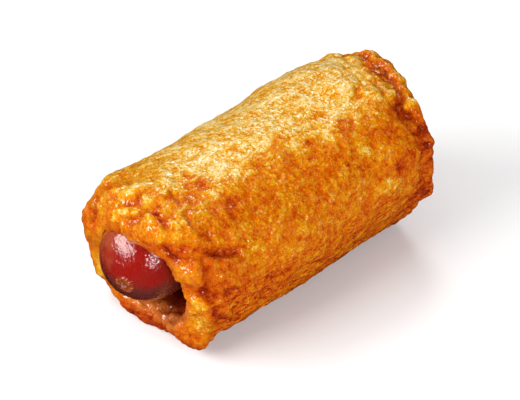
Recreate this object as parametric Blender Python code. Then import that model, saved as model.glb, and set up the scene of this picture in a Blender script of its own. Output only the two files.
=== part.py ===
"""A sausage roll: a thick fried wrapper folded round one slightly bent sausage.

The roll lies along Y. Its open front, where the sausage peeps out, is at -Y, its folded ear is on
the right at +X, and it rests on a flat strip of its underside at Z = 0. Named sizes are millimetres.
An angle round the roll is in degrees, 0 at +X and 90 at the top.
"""

import math

import bmesh
import bpy
import numpy as np

MM = 0.001

# The section of the roll, a squared ellipse that has sunk a little on to its underside.
ROLL_WIDTH = 50.0
ROLL_HEIGHT = 43.0
SECTION_SQUARENESS = 2.25
UNDERSIDE_SINK = 0.8

# How the section changes along the roll: place along Y, shift along X, size.
SPINE = (
    (-42.0, -1.2, 0.98),
    (-30.0, -1.2, 0.98),
    (-18.0, -1.0, 0.975),
    (-4.0, -0.7, 0.985),
    (10.0, -1.3, 0.99),
    (22.0, -1.8, 1.0),
    (32.0, -1.8, 1.01),
    (40.0, -1.6, 0.985),
    (47.0, -0.8, 0.95),
)

# The sausage, whose middle line bows sideways and whose tied front tip leans towards +X and up.
SAUSAGE_DIAMETER = 24.0
SAUSAGE_FRONT = -46.3
SAUSAGE_REAR = 41.0
SAUSAGE_FRONT_X = -5.1
SAUSAGE_REAR_X = 0.5
SAUSAGE_BOW = 1.6
SAUSAGE_HEIGHT = 21.5
SAUSAGE_SEGMENTS = 36
SAUSAGE_RINGS = 30
DOME_RINGS_SHARE = 0.34
TIP_LEAN = 23.5
TIP_LEAN_RISE = -6.0
TIP_SCAR_RADIUS = 2.6
TIP_SCAR_WIDTH = 0.9
TIP_SCAR_HEIGHT = 0.5
TIP_DIMPLE_RADIUS = 1.3
TIP_DIMPLE_DEPTH = 0.9
CLEARANCE = 0.45
CAVITY_CLEARANCE = 0.9

# How the wrapper's wall ends, by angle round the roll: place of the rim along Y, radius of the
# opening, and how far back the outer and the inner side of the rim are rounded.
FRONT_RIM = (
    (180, -41.1, 8.4, 5.0, 1.6),
    (-140, -40.6, 11.6, 5.0, 2.2),
    (-95, -40.4, 12.9, 3.5, 2.5),
    (-76, -37.8, 14.0, 3.0, 3.0),
    (-60, -36.4, 17.2, 3.0, 3.5),
    (-44, -38.2, 18.6, 3.0, 4.5),
    (-16, -36.7, 18.0, 7.0, 4.0),
    (8, -37.3, 16.4, 7.5, 3.5),
    (30, -38.0, 14.0, 8.0, 3.0),
    (48, -40.0, 12.0, 8.0, 2.4),
    (75, -42.2, 10.2, 9.0, 1.5),
    (120, -42.9, 9.4, 7.5, 1.5),
    (152, -40.9, 8.4, 9.0, 1.5),
)
REAR_RIM = (
    (-160, 45.0, 9.5, 5.0, 4.0),
    (-90, 42.5, 9.0, 4.0, 4.0),
    (-35, 41.4, 9.0, 5.0, 4.0),
    (0, 43.8, 9.5, 4.0, 4.0),
    (30, 44.8, 9.5, 4.0, 4.0),
    (60, 46.6, 9.5, 3.5, 4.0),
    (85, 49.6, 9.5, 3.5, 4.0),
    (115, 51.4, 10.0, 3.5, 4.0),
    (150, 48.0, 10.0, 4.0, 4.0),
)
RIM_CREST = 0.18
POCKET_DEPTH = 9.0

# Rows of the wall, from the rear along the outside, round the front rim and back down the cavity.
AROUND = 96
OUTER_ROWS = 29
ROUNDING_ROWS = 6
LIP_ROWS = 3
CAVITY_ROWS = 11
ROW_CROWDING = 0.4
# How freely the folds move the rows of the lip, from the crest inwards.
LIP_FREEDOM = (0.6, 0.2, 0.0)

# Folds pressed into the skin: (points along the fold, its half width, its depth).
FOLDS = (
    # The front ear: the crease above it, its root, the nip between its lobes and its lower end.
    (((10.8, -38.8, 36.9), (13.7, -36.4, 36.7), (16.4, -32.9, 36.3), (18.6, -27.6, 34.7)), 2.2, 2.2),
    (((19.5, -31.7, 31.8), (21.2, -33.4, 30.0), (21.9, -34.2, 27.0), (21.9, -34.2, 24.5)), 2.2, 1.6),
    (((17.5, -37.0, 24.8), (20.2, -35.2, 24.8), (22.4, -32.3, 24.7), (23.5, -28.2, 22.9)), 2.0, 1.4),
    (((22.4, -32.0, 10.0), (20.5, -31.0, 5.0), (17.5, -30.0, 1.0)), 3.0, 2.2),
    # The hood over the sausage, and the bulb on its left.
    (((-2.5, -38.6, 41.4), (1.3, -36.7, 41.6), (4.0, -35.8, 41.6), (8.8, -36.7, 40.6)), 2.0, 1.6),
    (((-3.5, -41.4, 36.8), (0.6, -39.0, 39.0)), 1.9, 1.2),
    (((-17.0, -34.5, 39.4), (-15.6, -38.4, 36.6), (-15.6, -41.2, 31.0), (-16.8, -41.9, 26.0)), 1.9, 1.5),
    # The rear, where the skin is tucked in behind a thin lip.
    (((-3.0, 44.8, 41.8), (1.5, 43.3, 41.2), (4.8, 42.0, 40.8)), 2.1, 2.0),
    (((6.9, 41.6, 40.4), (9.8, 39.9, 39.4), (10.2, 37.8, 39.2), (13.6, 38.9, 38.0)), 2.1, 2.2),
    (((13.6, 38.9, 38.0), (18.4, 39.7, 34.6), (21.6, 39.4, 31.0), (23.6, 38.8, 25.0)), 2.1, 2.2),
    (((23.6, 38.8, 25.0), (23.8, 37.0, 18.5), (22.4, 32.0, 13.5)), 2.3, 1.2),
    (((-14.5, 46.0, 38.4), (-9.0, 45.2, 40.6)), 2.0, 1.2),
    (((2.6, 32.0, 42.6), (5.0, 29.7, 42.6), (5.2, 27.5, 42.4)), 2.0, 0.8),
    # The left side, which folds as the right side does.
    (((-20.5, -37.0, 35.0), (-23.4, -36.2, 30.5)), 2.2, 1.2),
    (((-23.4, -36.2, 30.5), (-24.8, -35.0, 22.0), (-22.5, -35.5, 11.0)), 2.4, 1.4),
    (((-21.0, 39.0, 32.0), (-24.8, 39.0, 24.0), (-23.0, 38.5, 11.0)), 2.4, 1.2),
    (((-24.6, 24.0, 28.0), (-25.2, 12.0, 24.0)), 2.4, 0.6),
)

# Swellings of the skin: (centre, radius, height).
LOBES = (
    # The ear's two lobes and its tip.
    ((18.6, -36.4, 29.8), 4.2, 1.3),
    ((20.0, -36.4, 18.5), 5.0, 1.2),
    # The hood's fat lobe and the blisters above it.
    ((8.0, -39.6, 39.0), 5.0, 1.6),
    ((14.0, -34.5, 38.5), 4.5, 1.0),
    ((-4.4, -40.2, 38.0), 3.2, 0.9),
    ((-18.4, -37.4, 33.0), 3.2, 1.3),
    ((-20.0, -38.0, 22.0), 4.5, 0.4),
    # Blisters along the roll and the small lobes at its rear.
    ((-0.5, 29.0, 42.8), 4.0, 0.7),
    ((24.3, 26.0, 27.0), 5.0, 0.7),
    ((-11.0, 47.0, 39.0), 4.0, 0.8),
    ((20.5, 42.0, 29.5), 4.5, 0.9),
    ((22.6, 40.2, 18.4), 5.0, 0.9),
    ((13.6, 43.6, 34.2), 4.0, 0.9),
    ((-23.0, 43.0, 24.0), 5.0, 1.2),
)

# The ear's tip, drawn out of the corner: its centre, radius and pull.
EAR_TIP = ((16.6, -35.4, 5.0), 4.8, (2.3, 0.3, -0.8))

# The skin's gentle unevenness: waves of these heights, with this many turns round and along.
SKIN_WAVES = ((0.25, 3, 0.8), (0.20, 5, 1.3), (0.14, 8, 2.1))
WAVE_SWAY = 1.6
PLEATS = 13
PLEAT_HEIGHT = 0.3
PLEAT_SWAY = 2.5
PLEATS_START = 33.0
PLEATS_FULL = 41.0
SEED = 7


def clear_scene():
    """Removes whatever the scene holds."""
    for thing in list(bpy.data.objects):
        bpy.data.objects.remove(thing)


def eased(share):
    """A share from 0 to 1, eased at both ends."""
    share = np.clip(share, 0.0, 1.0)
    return share * share * (3.0 - 2.0 * share)


def station_value(places, stations, column):
    """The value in one column of the stations at each place, eased from station to station."""
    starts = np.array([station[0] for station in stations])
    values = np.array([station[column] for station in stations])
    before = np.clip(np.searchsorted(starts, places, side="right") - 1, 0, len(starts) - 2)
    share = (places - starts[before]) / (starts[before + 1] - starts[before])
    return values[before] + (values[before + 1] - values[before]) * eased(share)


def round_the_roll(degrees, stations, column):
    """The value in one column of the stations at each angle, all the way round the roll."""
    ordered = sorted(stations)
    turns = [
        (station[0] + turn, *station[1:])
        for turn in (-360.0, 0.0, 360.0)
        for station in ordered
    ]
    return station_value(degrees, turns, column)


def sausage_middle(along):
    """X of the sausage's middle line at a place along Y."""
    share = (along - SAUSAGE_FRONT) / (SAUSAGE_REAR - SAUSAGE_FRONT)
    straight = SAUSAGE_FRONT_X + (SAUSAGE_REAR_X - SAUSAGE_FRONT_X) * share
    return straight + SAUSAGE_BOW * np.sin(math.pi * np.clip(share, 0.0, 1.0))


def outer_skin(angle, along):
    """X and Z of the wrapper's outer skin, before it is folded."""
    size = station_value(along, SPINE, 2)
    across = np.abs(np.cos(angle) / (ROLL_WIDTH / 2)) ** SECTION_SQUARENESS
    upwards = np.abs(np.sin(angle) / (ROLL_HEIGHT / 2)) ** SECTION_SQUARENESS
    radius = size * (across + upwards) ** (-1.0 / SECTION_SQUARENESS)
    x = station_value(along, SPINE, 1) + radius * np.cos(angle)
    return x, size * ROLL_HEIGHT / 2 + radius * np.sin(angle)


def wall_point(angle, depth, along, opening):
    """Points of the wall: depth is 1 on the outer skin and 0 at the opening's radius."""
    outer_x, outer_z = outer_skin(angle, along)
    inner_x = sausage_middle(along) + opening * np.cos(angle)
    inner_z = SAUSAGE_HEIGHT + opening * np.sin(angle)
    x = inner_x + depth * (outer_x - inner_x)
    z = inner_z + depth * (outer_z - inner_z)
    return np.stack([x, along, z], axis=-1)


def rim_rows(angle, stations, side):
    """Rows of one rim from its outer rounding to its inner lip. Side is -1 in front and 1 behind."""
    rim, opening, outer_round, inner_round = (
        round_the_roll(np.degrees(angle), stations, column) for column in (1, 2, 3, 4)
    )
    rows = []
    for turn in np.linspace(0.0, math.pi / 2, ROUNDING_ROWS + 1):
        depth = RIM_CREST + (1.0 - RIM_CREST) * math.cos(turn)
        along = rim - side * outer_round * (1.0 - math.sin(turn))
        rows.append(wall_point(angle, depth, along, opening))
    for turn in np.linspace(0.0, math.pi / 2, LIP_ROWS + 1)[1:]:
        depth = RIM_CREST * (1.0 - math.sin(turn))
        along = rim - side * inner_round * (1.0 - math.cos(turn))
        rows.append(wall_point(angle, depth, along, opening))
    return rows


def cavity_rows(angle, front_lip, rear_lip):
    """Rows of the cavity, which follows the sausage and widens into the pocket behind the ear."""
    front_opening = round_the_roll(np.degrees(angle), FRONT_RIM, 2)
    rear_opening = round_the_roll(np.degrees(angle), REAR_RIM, 2)
    snug = SAUSAGE_DIAMETER / 2 + CAVITY_CLEARANCE
    rows = []
    for share in np.linspace(0.0, 1.0, CAVITY_ROWS + 2)[1:-1]:
        along = front_lip + (rear_lip - front_lip) * eased(share)
        in_front = eased(1.0 - (along - front_lip) / POCKET_DEPTH)
        behind = eased(1.0 - (rear_lip - along) / POCKET_DEPTH)
        radius = snug + in_front * (front_opening - snug) + behind * (rear_opening - snug)
        rows.append(wall_point(angle, 0.0, along, radius))
    return rows


def wrapper_wall():
    """The smooth wall as a grid of points, and how freely each row may be folded."""
    angle = np.linspace(-math.pi, math.pi, AROUND, endpoint=False)
    front = rim_rows(angle, FRONT_RIM, -1)
    rear = rim_rows(angle, REAR_RIM, 1)[::-1]
    outer = []
    for share in np.linspace(0.0, 1.0, OUTER_ROWS + 1)[1:-1]:
        share -= ROW_CROWDING * math.sin(2 * math.pi * share) / (2 * math.pi)
        along = rear[-1][:, 1] + (front[0][:, 1] - rear[-1][:, 1]) * share
        outer.append(wall_point(angle, 1.0, along, 0.0))
    cavity = cavity_rows(angle, front[-1][:, 1], rear[0][:, 1])
    rim_freedom = [1.0] * (ROUNDING_ROWS + 1) + list(LIP_FREEDOM)
    freedom = [1.0] * len(outer) + rim_freedom + [0.0] * len(cavity) + rim_freedom[::-1]
    return np.array(outer + front + cavity + rear), np.array(freedom)


def grid_normals(grid):
    """The outward direction at each point of a grid that is closed both ways."""
    down = np.roll(grid, -1, axis=0) - np.roll(grid, 1, axis=0)
    around = np.roll(grid, -1, axis=1) - np.roll(grid, 1, axis=1)
    normal = np.cross(around, down)
    return normal / np.linalg.norm(normal, axis=-1, keepdims=True)


def distance_to_path(points, path):
    """The distance of every point from a line through the path's points."""
    nearest = np.full(points.shape[:-1], np.inf)
    for start, end in zip(np.array(path[:-1]), np.array(path[1:])):
        run = end - start
        share = np.clip((points - start) @ run / (run @ run), 0.0, 1.0)
        gap = np.linalg.norm(points - start - share[..., None] * run, axis=-1)
        nearest = np.minimum(nearest, gap)
    return nearest


def skin_relief(grid):
    """How far the skin stands out at each point: waves, pleats at the ends, lobes and folds."""
    random = np.random.default_rng(SEED)
    angle = np.arctan2(grid[..., 2] - ROLL_HEIGHT / 2, grid[..., 0])
    along = grid[..., 1] / ROLL_WIDTH
    relief = np.zeros(grid.shape[:-1])
    for height, turns_round, turns_along in SKIN_WAVES:
        lead, drift = random.uniform(0.0, 2 * math.pi, 2)
        sway = np.sin(2 * math.pi * turns_along * along + drift)
        relief += height * np.sin(turns_round * angle + lead + WAVE_SWAY * sway)
    near_end = eased((np.abs(grid[..., 1]) - PLEATS_START) / (PLEATS_FULL - PLEATS_START))
    relief += PLEAT_HEIGHT * near_end * np.sin(PLEATS * angle + PLEAT_SWAY * np.sin(3 * angle))
    for centre, radius, height in LOBES:
        gap = np.linalg.norm(grid - np.array(centre), axis=-1)
        relief += height * np.exp(-((gap / radius) ** 2))
    for path, half_width, depth in FOLDS:
        relief -= depth * np.exp(-((distance_to_path(grid, path) / half_width) ** 2))
    return relief


def clear_of_sausage(grid, clearance):
    """The grid with any point that comes nearer the sausage than its clearance pushed off it."""
    radius = SAUSAGE_DIAMETER / 2
    along = np.clip(grid[..., 1], SAUSAGE_FRONT + radius, SAUSAGE_REAR - radius)
    middle = np.stack([sausage_middle(along), along, np.full_like(along, SAUSAGE_HEIGHT)], axis=-1)
    away = grid - middle
    distance = np.linalg.norm(away, axis=-1, keepdims=True)
    return middle + away * np.maximum(1.0, (radius + clearance) / distance)


def wrapper_points():
    """The finished wall's points, folded and settled on its underside, in millimetres."""
    grid, freedom = wrapper_wall()
    centre, radius, pull = EAR_TIP
    gap = np.linalg.norm(grid - np.array(centre), axis=-1)
    drawn = (np.exp(-((gap / radius) ** 2)) * freedom[:, None])[..., None] * np.array(pull)
    relief = (skin_relief(grid) * freedom[:, None])[..., None] * grid_normals(grid)
    clearance = np.where(freedom > 0.0, CLEARANCE, CAVITY_CLEARANCE)
    grid = clear_of_sausage(grid + relief + drawn, clearance[:, None, None])
    settled = np.maximum(grid[..., 2] - UNDERSIDE_SINK, 0.0)
    on_the_skin = freedom[:, None] > LIP_FREEDOM[1]
    grid[..., 2] = np.where(on_the_skin, settled, grid[..., 2] - UNDERSIDE_SINK)
    return grid


def sausage_points(sphere):
    """A unit sphere's points drawn out into a bent sausage with domed ends, in millimetres.

    The sphere's upper pole becomes the tied tip in front.
    """
    polar = np.arccos(np.clip(sphere[:, 2], -1.0, 1.0)) / math.pi
    spin = np.arctan2(sphere[:, 1], sphere[:, 0])
    in_front = polar <= 0.5
    radius = SAUSAGE_DIAMETER / 2
    turn = np.clip(np.minimum(polar, 1.0 - polar) / DOME_RINGS_SHARE, 0.0, 1.0) * math.pi / 2
    # The tied tip: a raised ring round a dimple.
    from_pole = np.where(in_front, radius * turn, np.inf)
    ring = TIP_SCAR_HEIGHT * np.exp(-(((from_pole - TIP_SCAR_RADIUS) / TIP_SCAR_WIDTH) ** 2))
    dimple = TIP_DIMPLE_DEPTH * np.exp(-((from_pole / TIP_DIMPLE_RADIUS) ** 2))
    distance = radius + ring - dimple
    across = distance * np.sin(turn)
    outwards = distance * np.cos(turn)
    # The front dome turns the way the tip leans, most at its pole.
    lean = math.radians(TIP_LEAN) * np.where(in_front, np.cos(turn), 0.0)
    rise = math.radians(TIP_LEAN_RISE)
    with_lean = across * np.cos(spin - rise)
    beside_lean = across * np.sin(spin - rise)
    leaned = with_lean * np.cos(lean) + outwards * np.sin(lean)
    outwards = outwards * np.cos(lean) - with_lean * np.sin(lean)
    x = leaned * math.cos(rise) - beside_lean * math.sin(rise)
    z = leaned * math.sin(rise) + beside_lean * math.cos(rise)
    barrel = np.clip((polar - DOME_RINGS_SHARE) / (1.0 - 2 * DOME_RINGS_SHARE), 0.0, 1.0)
    base = SAUSAGE_FRONT + radius + (SAUSAGE_REAR - SAUSAGE_FRONT - SAUSAGE_DIAMETER) * barrel
    along = base + np.where(in_front, -outwards, outwards)
    height = SAUSAGE_HEIGHT - UNDERSIDE_SINK + z
    return np.stack([sausage_middle(base) + x, along, height], axis=-1)


def plain_material(name, colour, roughness):
    """A plain Principled material."""
    material = bpy.data.materials.new(name)
    material.use_nodes = True
    shader = material.node_tree.nodes["Principled BSDF"]
    shader.inputs["Base Color"].default_value = (*colour, 1.0)
    shader.inputs["Roughness"].default_value = roughness
    shader.inputs["Metallic"].default_value = 0.0
    return material


def adopt(name, collection, material):
    """Names the active object, gives it its material and puts it in the roll's collection."""
    thing = bpy.context.active_object
    thing.name = thing.data.name = name
    thing.data.materials.clear()
    thing.data.materials.append(material)
    for holder in list(thing.users_collection):
        holder.objects.unlink(thing)
    collection.objects.link(thing)
    return thing


def reshape(thing, points):
    """Gives a primitive's vertices these places in millimetres, and turns its faces outwards."""
    thing.data.vertices.foreach_set("co", (points * MM).ravel())
    mesh = bmesh.new()
    mesh.from_mesh(thing.data)
    bmesh.ops.recalc_face_normals(mesh, faces=mesh.faces)
    mesh.to_mesh(thing.data)
    mesh.free()
    thing.data.shade_smooth()


def make_wrapper(collection):
    """The wrapper, from a torus whose rings become the rows of the wall."""
    rows = wrapper_points()
    bpy.ops.mesh.primitive_torus_add(major_segments=AROUND, minor_segments=len(rows))
    wrapper = adopt("wrapper", collection, plain_material("fried_wrapper", (0.70, 0.28, 0.05), 0.45))
    reshape(wrapper, rows.transpose(1, 0, 2).reshape(-1, 3))
    return wrapper


def make_sausage(collection):
    """The sausage, from a sphere drawn out to length, with the scar of its tied end."""
    bpy.ops.mesh.primitive_uv_sphere_add(segments=SAUSAGE_SEGMENTS, ring_count=SAUSAGE_RINGS)
    sausage = adopt("sausage", collection, plain_material("sausage_skin", (0.36, 0.05, 0.02), 0.25))
    sphere = np.empty(len(sausage.data.vertices) * 3, np.float32)
    sausage.data.vertices.foreach_get("co", sphere)
    reshape(sausage, sausage_points(sphere.reshape(-1, 3).astype(float)))
    return sausage


def centre_on_origin(things):
    """Moves the pieces together, so that the roll's box stands centred on the origin."""
    bpy.context.view_layer.update()
    corners = np.array([np.array(thing.bound_box) for thing in things]).reshape(-1, 3)
    middle = (corners.min(axis=0) + corners.max(axis=0)) / 2
    for thing in things:
        thing.location = (-middle[0], -middle[1], 0.0)


def main():
    """Builds the roll."""
    clear_scene()
    collection = bpy.data.collections.new("sausage_roll")
    bpy.context.scene.collection.children.link(collection)
    pieces = [make_wrapper(collection), make_sausage(collection)]
    centre_on_origin(pieces)


main()
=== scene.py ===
"""The looks of a sausage roll: a crinkled, oily fried wrapper round one glossy sausage.

The roll lies along Y. Its open front, where the sausage peeps out, is at -Y, its folded ear is on
the right at +X, and it rests on Z = 0. Sizes and places are millimetres in the frame of the solids.
"""

import logging
import math
from dataclasses import dataclass
from enum import Enum

import bpy
import numpy as np
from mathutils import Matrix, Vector, noise
from mathutils.bvhtree import BVHTree


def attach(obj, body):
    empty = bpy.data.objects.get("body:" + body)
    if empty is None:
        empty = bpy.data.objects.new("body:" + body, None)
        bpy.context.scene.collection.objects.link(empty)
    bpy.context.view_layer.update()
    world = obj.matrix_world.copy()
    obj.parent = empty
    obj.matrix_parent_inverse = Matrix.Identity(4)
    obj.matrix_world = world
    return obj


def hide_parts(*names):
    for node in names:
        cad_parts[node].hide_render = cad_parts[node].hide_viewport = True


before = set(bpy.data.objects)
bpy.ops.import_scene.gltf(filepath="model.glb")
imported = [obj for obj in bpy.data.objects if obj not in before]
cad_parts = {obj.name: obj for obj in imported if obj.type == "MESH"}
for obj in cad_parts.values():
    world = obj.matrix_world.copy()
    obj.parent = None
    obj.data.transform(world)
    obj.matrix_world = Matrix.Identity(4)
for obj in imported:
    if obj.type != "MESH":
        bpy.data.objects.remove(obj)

MM = 0.001
MERGE_GAP = 0.004 * MM
CREASE_STEP = 0.35
FAR = 1000.0

Point = tuple[float, float, float]
Colour = tuple[float, float, float]
log = logging.getLogger("sausage_roll")


def rise(values: np.ndarray, low: float, high: float) -> np.ndarray:
    """Eases values from 0 at low to 1 at high.

    Args:
        values: The values to map.
        low: Where the result is 0.
        high: Where the result is 1, which may be below low.

    Returns:
        The eased shares, from 0 to 1.
    """
    share = np.clip((values - low) / (high - low), 0.0, 1.0)
    return share * share * (3.0 - 2.0 * share)


class Relief(Enum):
    """The kinds of unevenness that a grain gives."""

    SWELL = "swell"
    BILLOW = "billow"
    PILLOW = "pillow"


@dataclass(frozen=True)
class Grain:
    """An unevenness that fills space, such as the lumps of a fried skin.

    Attributes:
        relief: SWELL rolls softly, BILLOW has round lumps between creases, PILLOW has cells.
        lump: The size of a lump across X, along Y and up Z.
        octaves: How many finer layers lie on the first.
        offset: Moves the pattern, so that two grains differ.
        sway: How far the pattern is bent out of its regular places.
    """

    relief: Relief
    lump: Point
    octaves: int = 2
    offset: float = 0.0
    sway: float = 0.0

    def at(self, points: np.ndarray) -> np.ndarray:
        """Samples the grain.

        Args:
            points: Places in millimetres, one to a row.

        Returns:
            One value for each place, with a mean of 0 and a spread of 1.
        """
        scaled = points / np.array(self.lump) + self.offset
        if self.sway:
            bends = [noise.noise_vector(place) for place in (scaled * 0.7 + 31.7).tolist()]
            scaled = scaled + self.sway * np.array(bends)
        places = scaled.tolist()
        if self.relief is Relief.SWELL:
            values = np.array([noise.fractal(place, 0.8, 2.0, self.octaves) for place in places])
        elif self.relief is Relief.BILLOW:
            values = np.array([noise.turbulence(place, self.octaves, True) for place in places])
        else:
            nearest = np.array([noise.voronoi(place)[0][:2] for place in places])
            values = rise(nearest[:, 1] - nearest[:, 0], 0.0, 0.45)
        return (values - values.mean()) / values.std()


@dataclass(frozen=True)
class SkinLayer:
    """One grain of the skin's relief.

    Attributes:
        grain: Its pattern.
        height: How far its tops stand out in the middle of the roll.
        end_height: How far they stand out at the roll's ends.
        paleness_and_light: How much paler its tops are and darker its hollows, partly their own colour and partly a
            painted highlight and painted shade.
    """

    grain: Grain
    height: float
    end_height: float
    paleness_and_light: float


@dataclass(frozen=True)
class Crease:
    """A narrow fold line pressed into the skin, with puffed shoulders.

    Attributes:
        path: The points that it runs near; the line itself is laid on the skin.
        half_width: How far from the line the skin is most of the way up again.
        depth: How deep it is.
        browning_and_shade: How much more brown and red it is than the skin round it, partly its own colour and partly
            painted shade in the fold.
        wander: How far the line strays to its sides.
    """

    path: tuple[Point, ...]
    half_width: float = 0.8
    depth: float = 0.6
    browning_and_shade: float = 0.5
    wander: float = 0.5

    def laid_on(self, surface: BVHTree) -> np.ndarray:
        """Lays the line on the skin in short wandering steps.

        Args:
            surface: The skin's faces.

        Returns:
            The line's points, one to a row.
        """
        line = []
        for start, end in zip(self.path[:-1], self.path[1:]):
            start, end = Vector(start), Vector(end)
            steps = max(2, round((end - start).length / CREASE_STEP))
            for step in range(steps):
                place = start.lerp(end, step / steps)
                place += self.wander * noise.noise_vector(place * 0.45)
                line.append(surface.find_nearest(place)[0])
        return np.array(line)

    def distance(self, points: np.ndarray, surface: BVHTree) -> np.ndarray:
        """Measures how far the skin is from the line, in half widths.

        Args:
            points: Places in millimetres, one to a row.
            surface: The skin's faces.

        Returns:
            One distance for each place, and a very large one far from the line.
        """
        line = self.laid_on(surface)
        reach = 5.0 * self.half_width
        low, high = line.min(axis=0) - reach, line.max(axis=0) + reach
        near = np.all((points > low) & (points < high), axis=1)
        gap = np.full(len(points), FAR)
        for place in line:
            gap[near] = np.minimum(gap[near], np.linalg.norm(points[near] - place, axis=1))
        return gap / self.half_width


@dataclass(frozen=True)
class Patch:
    """A round place where the skin swells or is more or less brown than round it; a few carry painted shade, and a
    few a painted highlight.

    Attributes:
        centre: Its middle.
        radius: Where its effect has fallen to a third.
        height: How far it stands out, or lies back where it is negative.
        browning_and_shade: How much more brown it is, or paler where it is negative.
    """

    centre: Point
    radius: float
    height: float = 0.0
    browning_and_shade: float = 0.0

    def nearness(self, points: np.ndarray) -> np.ndarray:
        """Gives 1 at the centre, falling to 0 away from it.

        Args:
            points: Places in millimetres, one to a row.

        Returns:
            One value from 0 to 1 for each place.
        """
        gap = np.linalg.norm(points - np.array(self.centre), axis=1)
        return np.exp(-((gap / self.radius) ** 2))


class Skin:
    """A mesh whose skin is shaped point by point, in millimetres.

    Attributes:
        thing: The object that carries the mesh.
        points: The places of its vertices.
        normals: The outward directions at its vertices.
    """

    def __init__(self, thing: bpy.types.Object) -> None:
        """Reads an object's mesh."""
        self.thing = thing
        self.points = self._read("vertices", "co") / MM
        self.normals = self._read("vertex_normals", "vector")

    def _read(self, collection: str, field: str) -> np.ndarray:
        """Reads one vector for each vertex of the mesh.

        Args:
            collection: The mesh's collection to read.
            field: The name of the vector in it.

        Returns:
            The vectors, one to a row.
        """
        rows = getattr(self.thing.data, collection)
        values = np.empty(len(rows) * 3, np.float32)
        rows.foreach_get(field, values)
        return values.reshape(-1, 3).astype(float)

    def place(self, points: np.ndarray) -> None:
        """Moves the vertices and reads their new normals.

        Args:
            points: The new places in millimetres.
        """
        self.points = points
        self.thing.data.vertices.foreach_set("co", (points * MM).ravel().astype(np.float32))
        self.thing.data.update()
        self.normals = self._read("vertex_normals", "vector")

    def raise_by(self, heights: np.ndarray) -> None:
        """Moves the vertices outwards by these heights in millimetres."""
        self.place(self.points + heights[:, None] * self.normals)

    def surface(self) -> BVHTree:
        """The mesh's faces, to find places on, in millimetres."""
        faces = [tuple(face.vertices) for face in self.thing.data.polygons]
        return BVHTree.FromPolygons(self.points.tolist(), faces)

    def paint(self, name: str, values: np.ndarray) -> None:
        """Keeps one value for each vertex as an attribute that materials read."""
        layer = self.thing.data.attributes.new(name, "FLOAT", "POINT")
        layer.data.foreach_set("value", np.clip(values, 0.0, 1.0).astype(np.float32))


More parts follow.
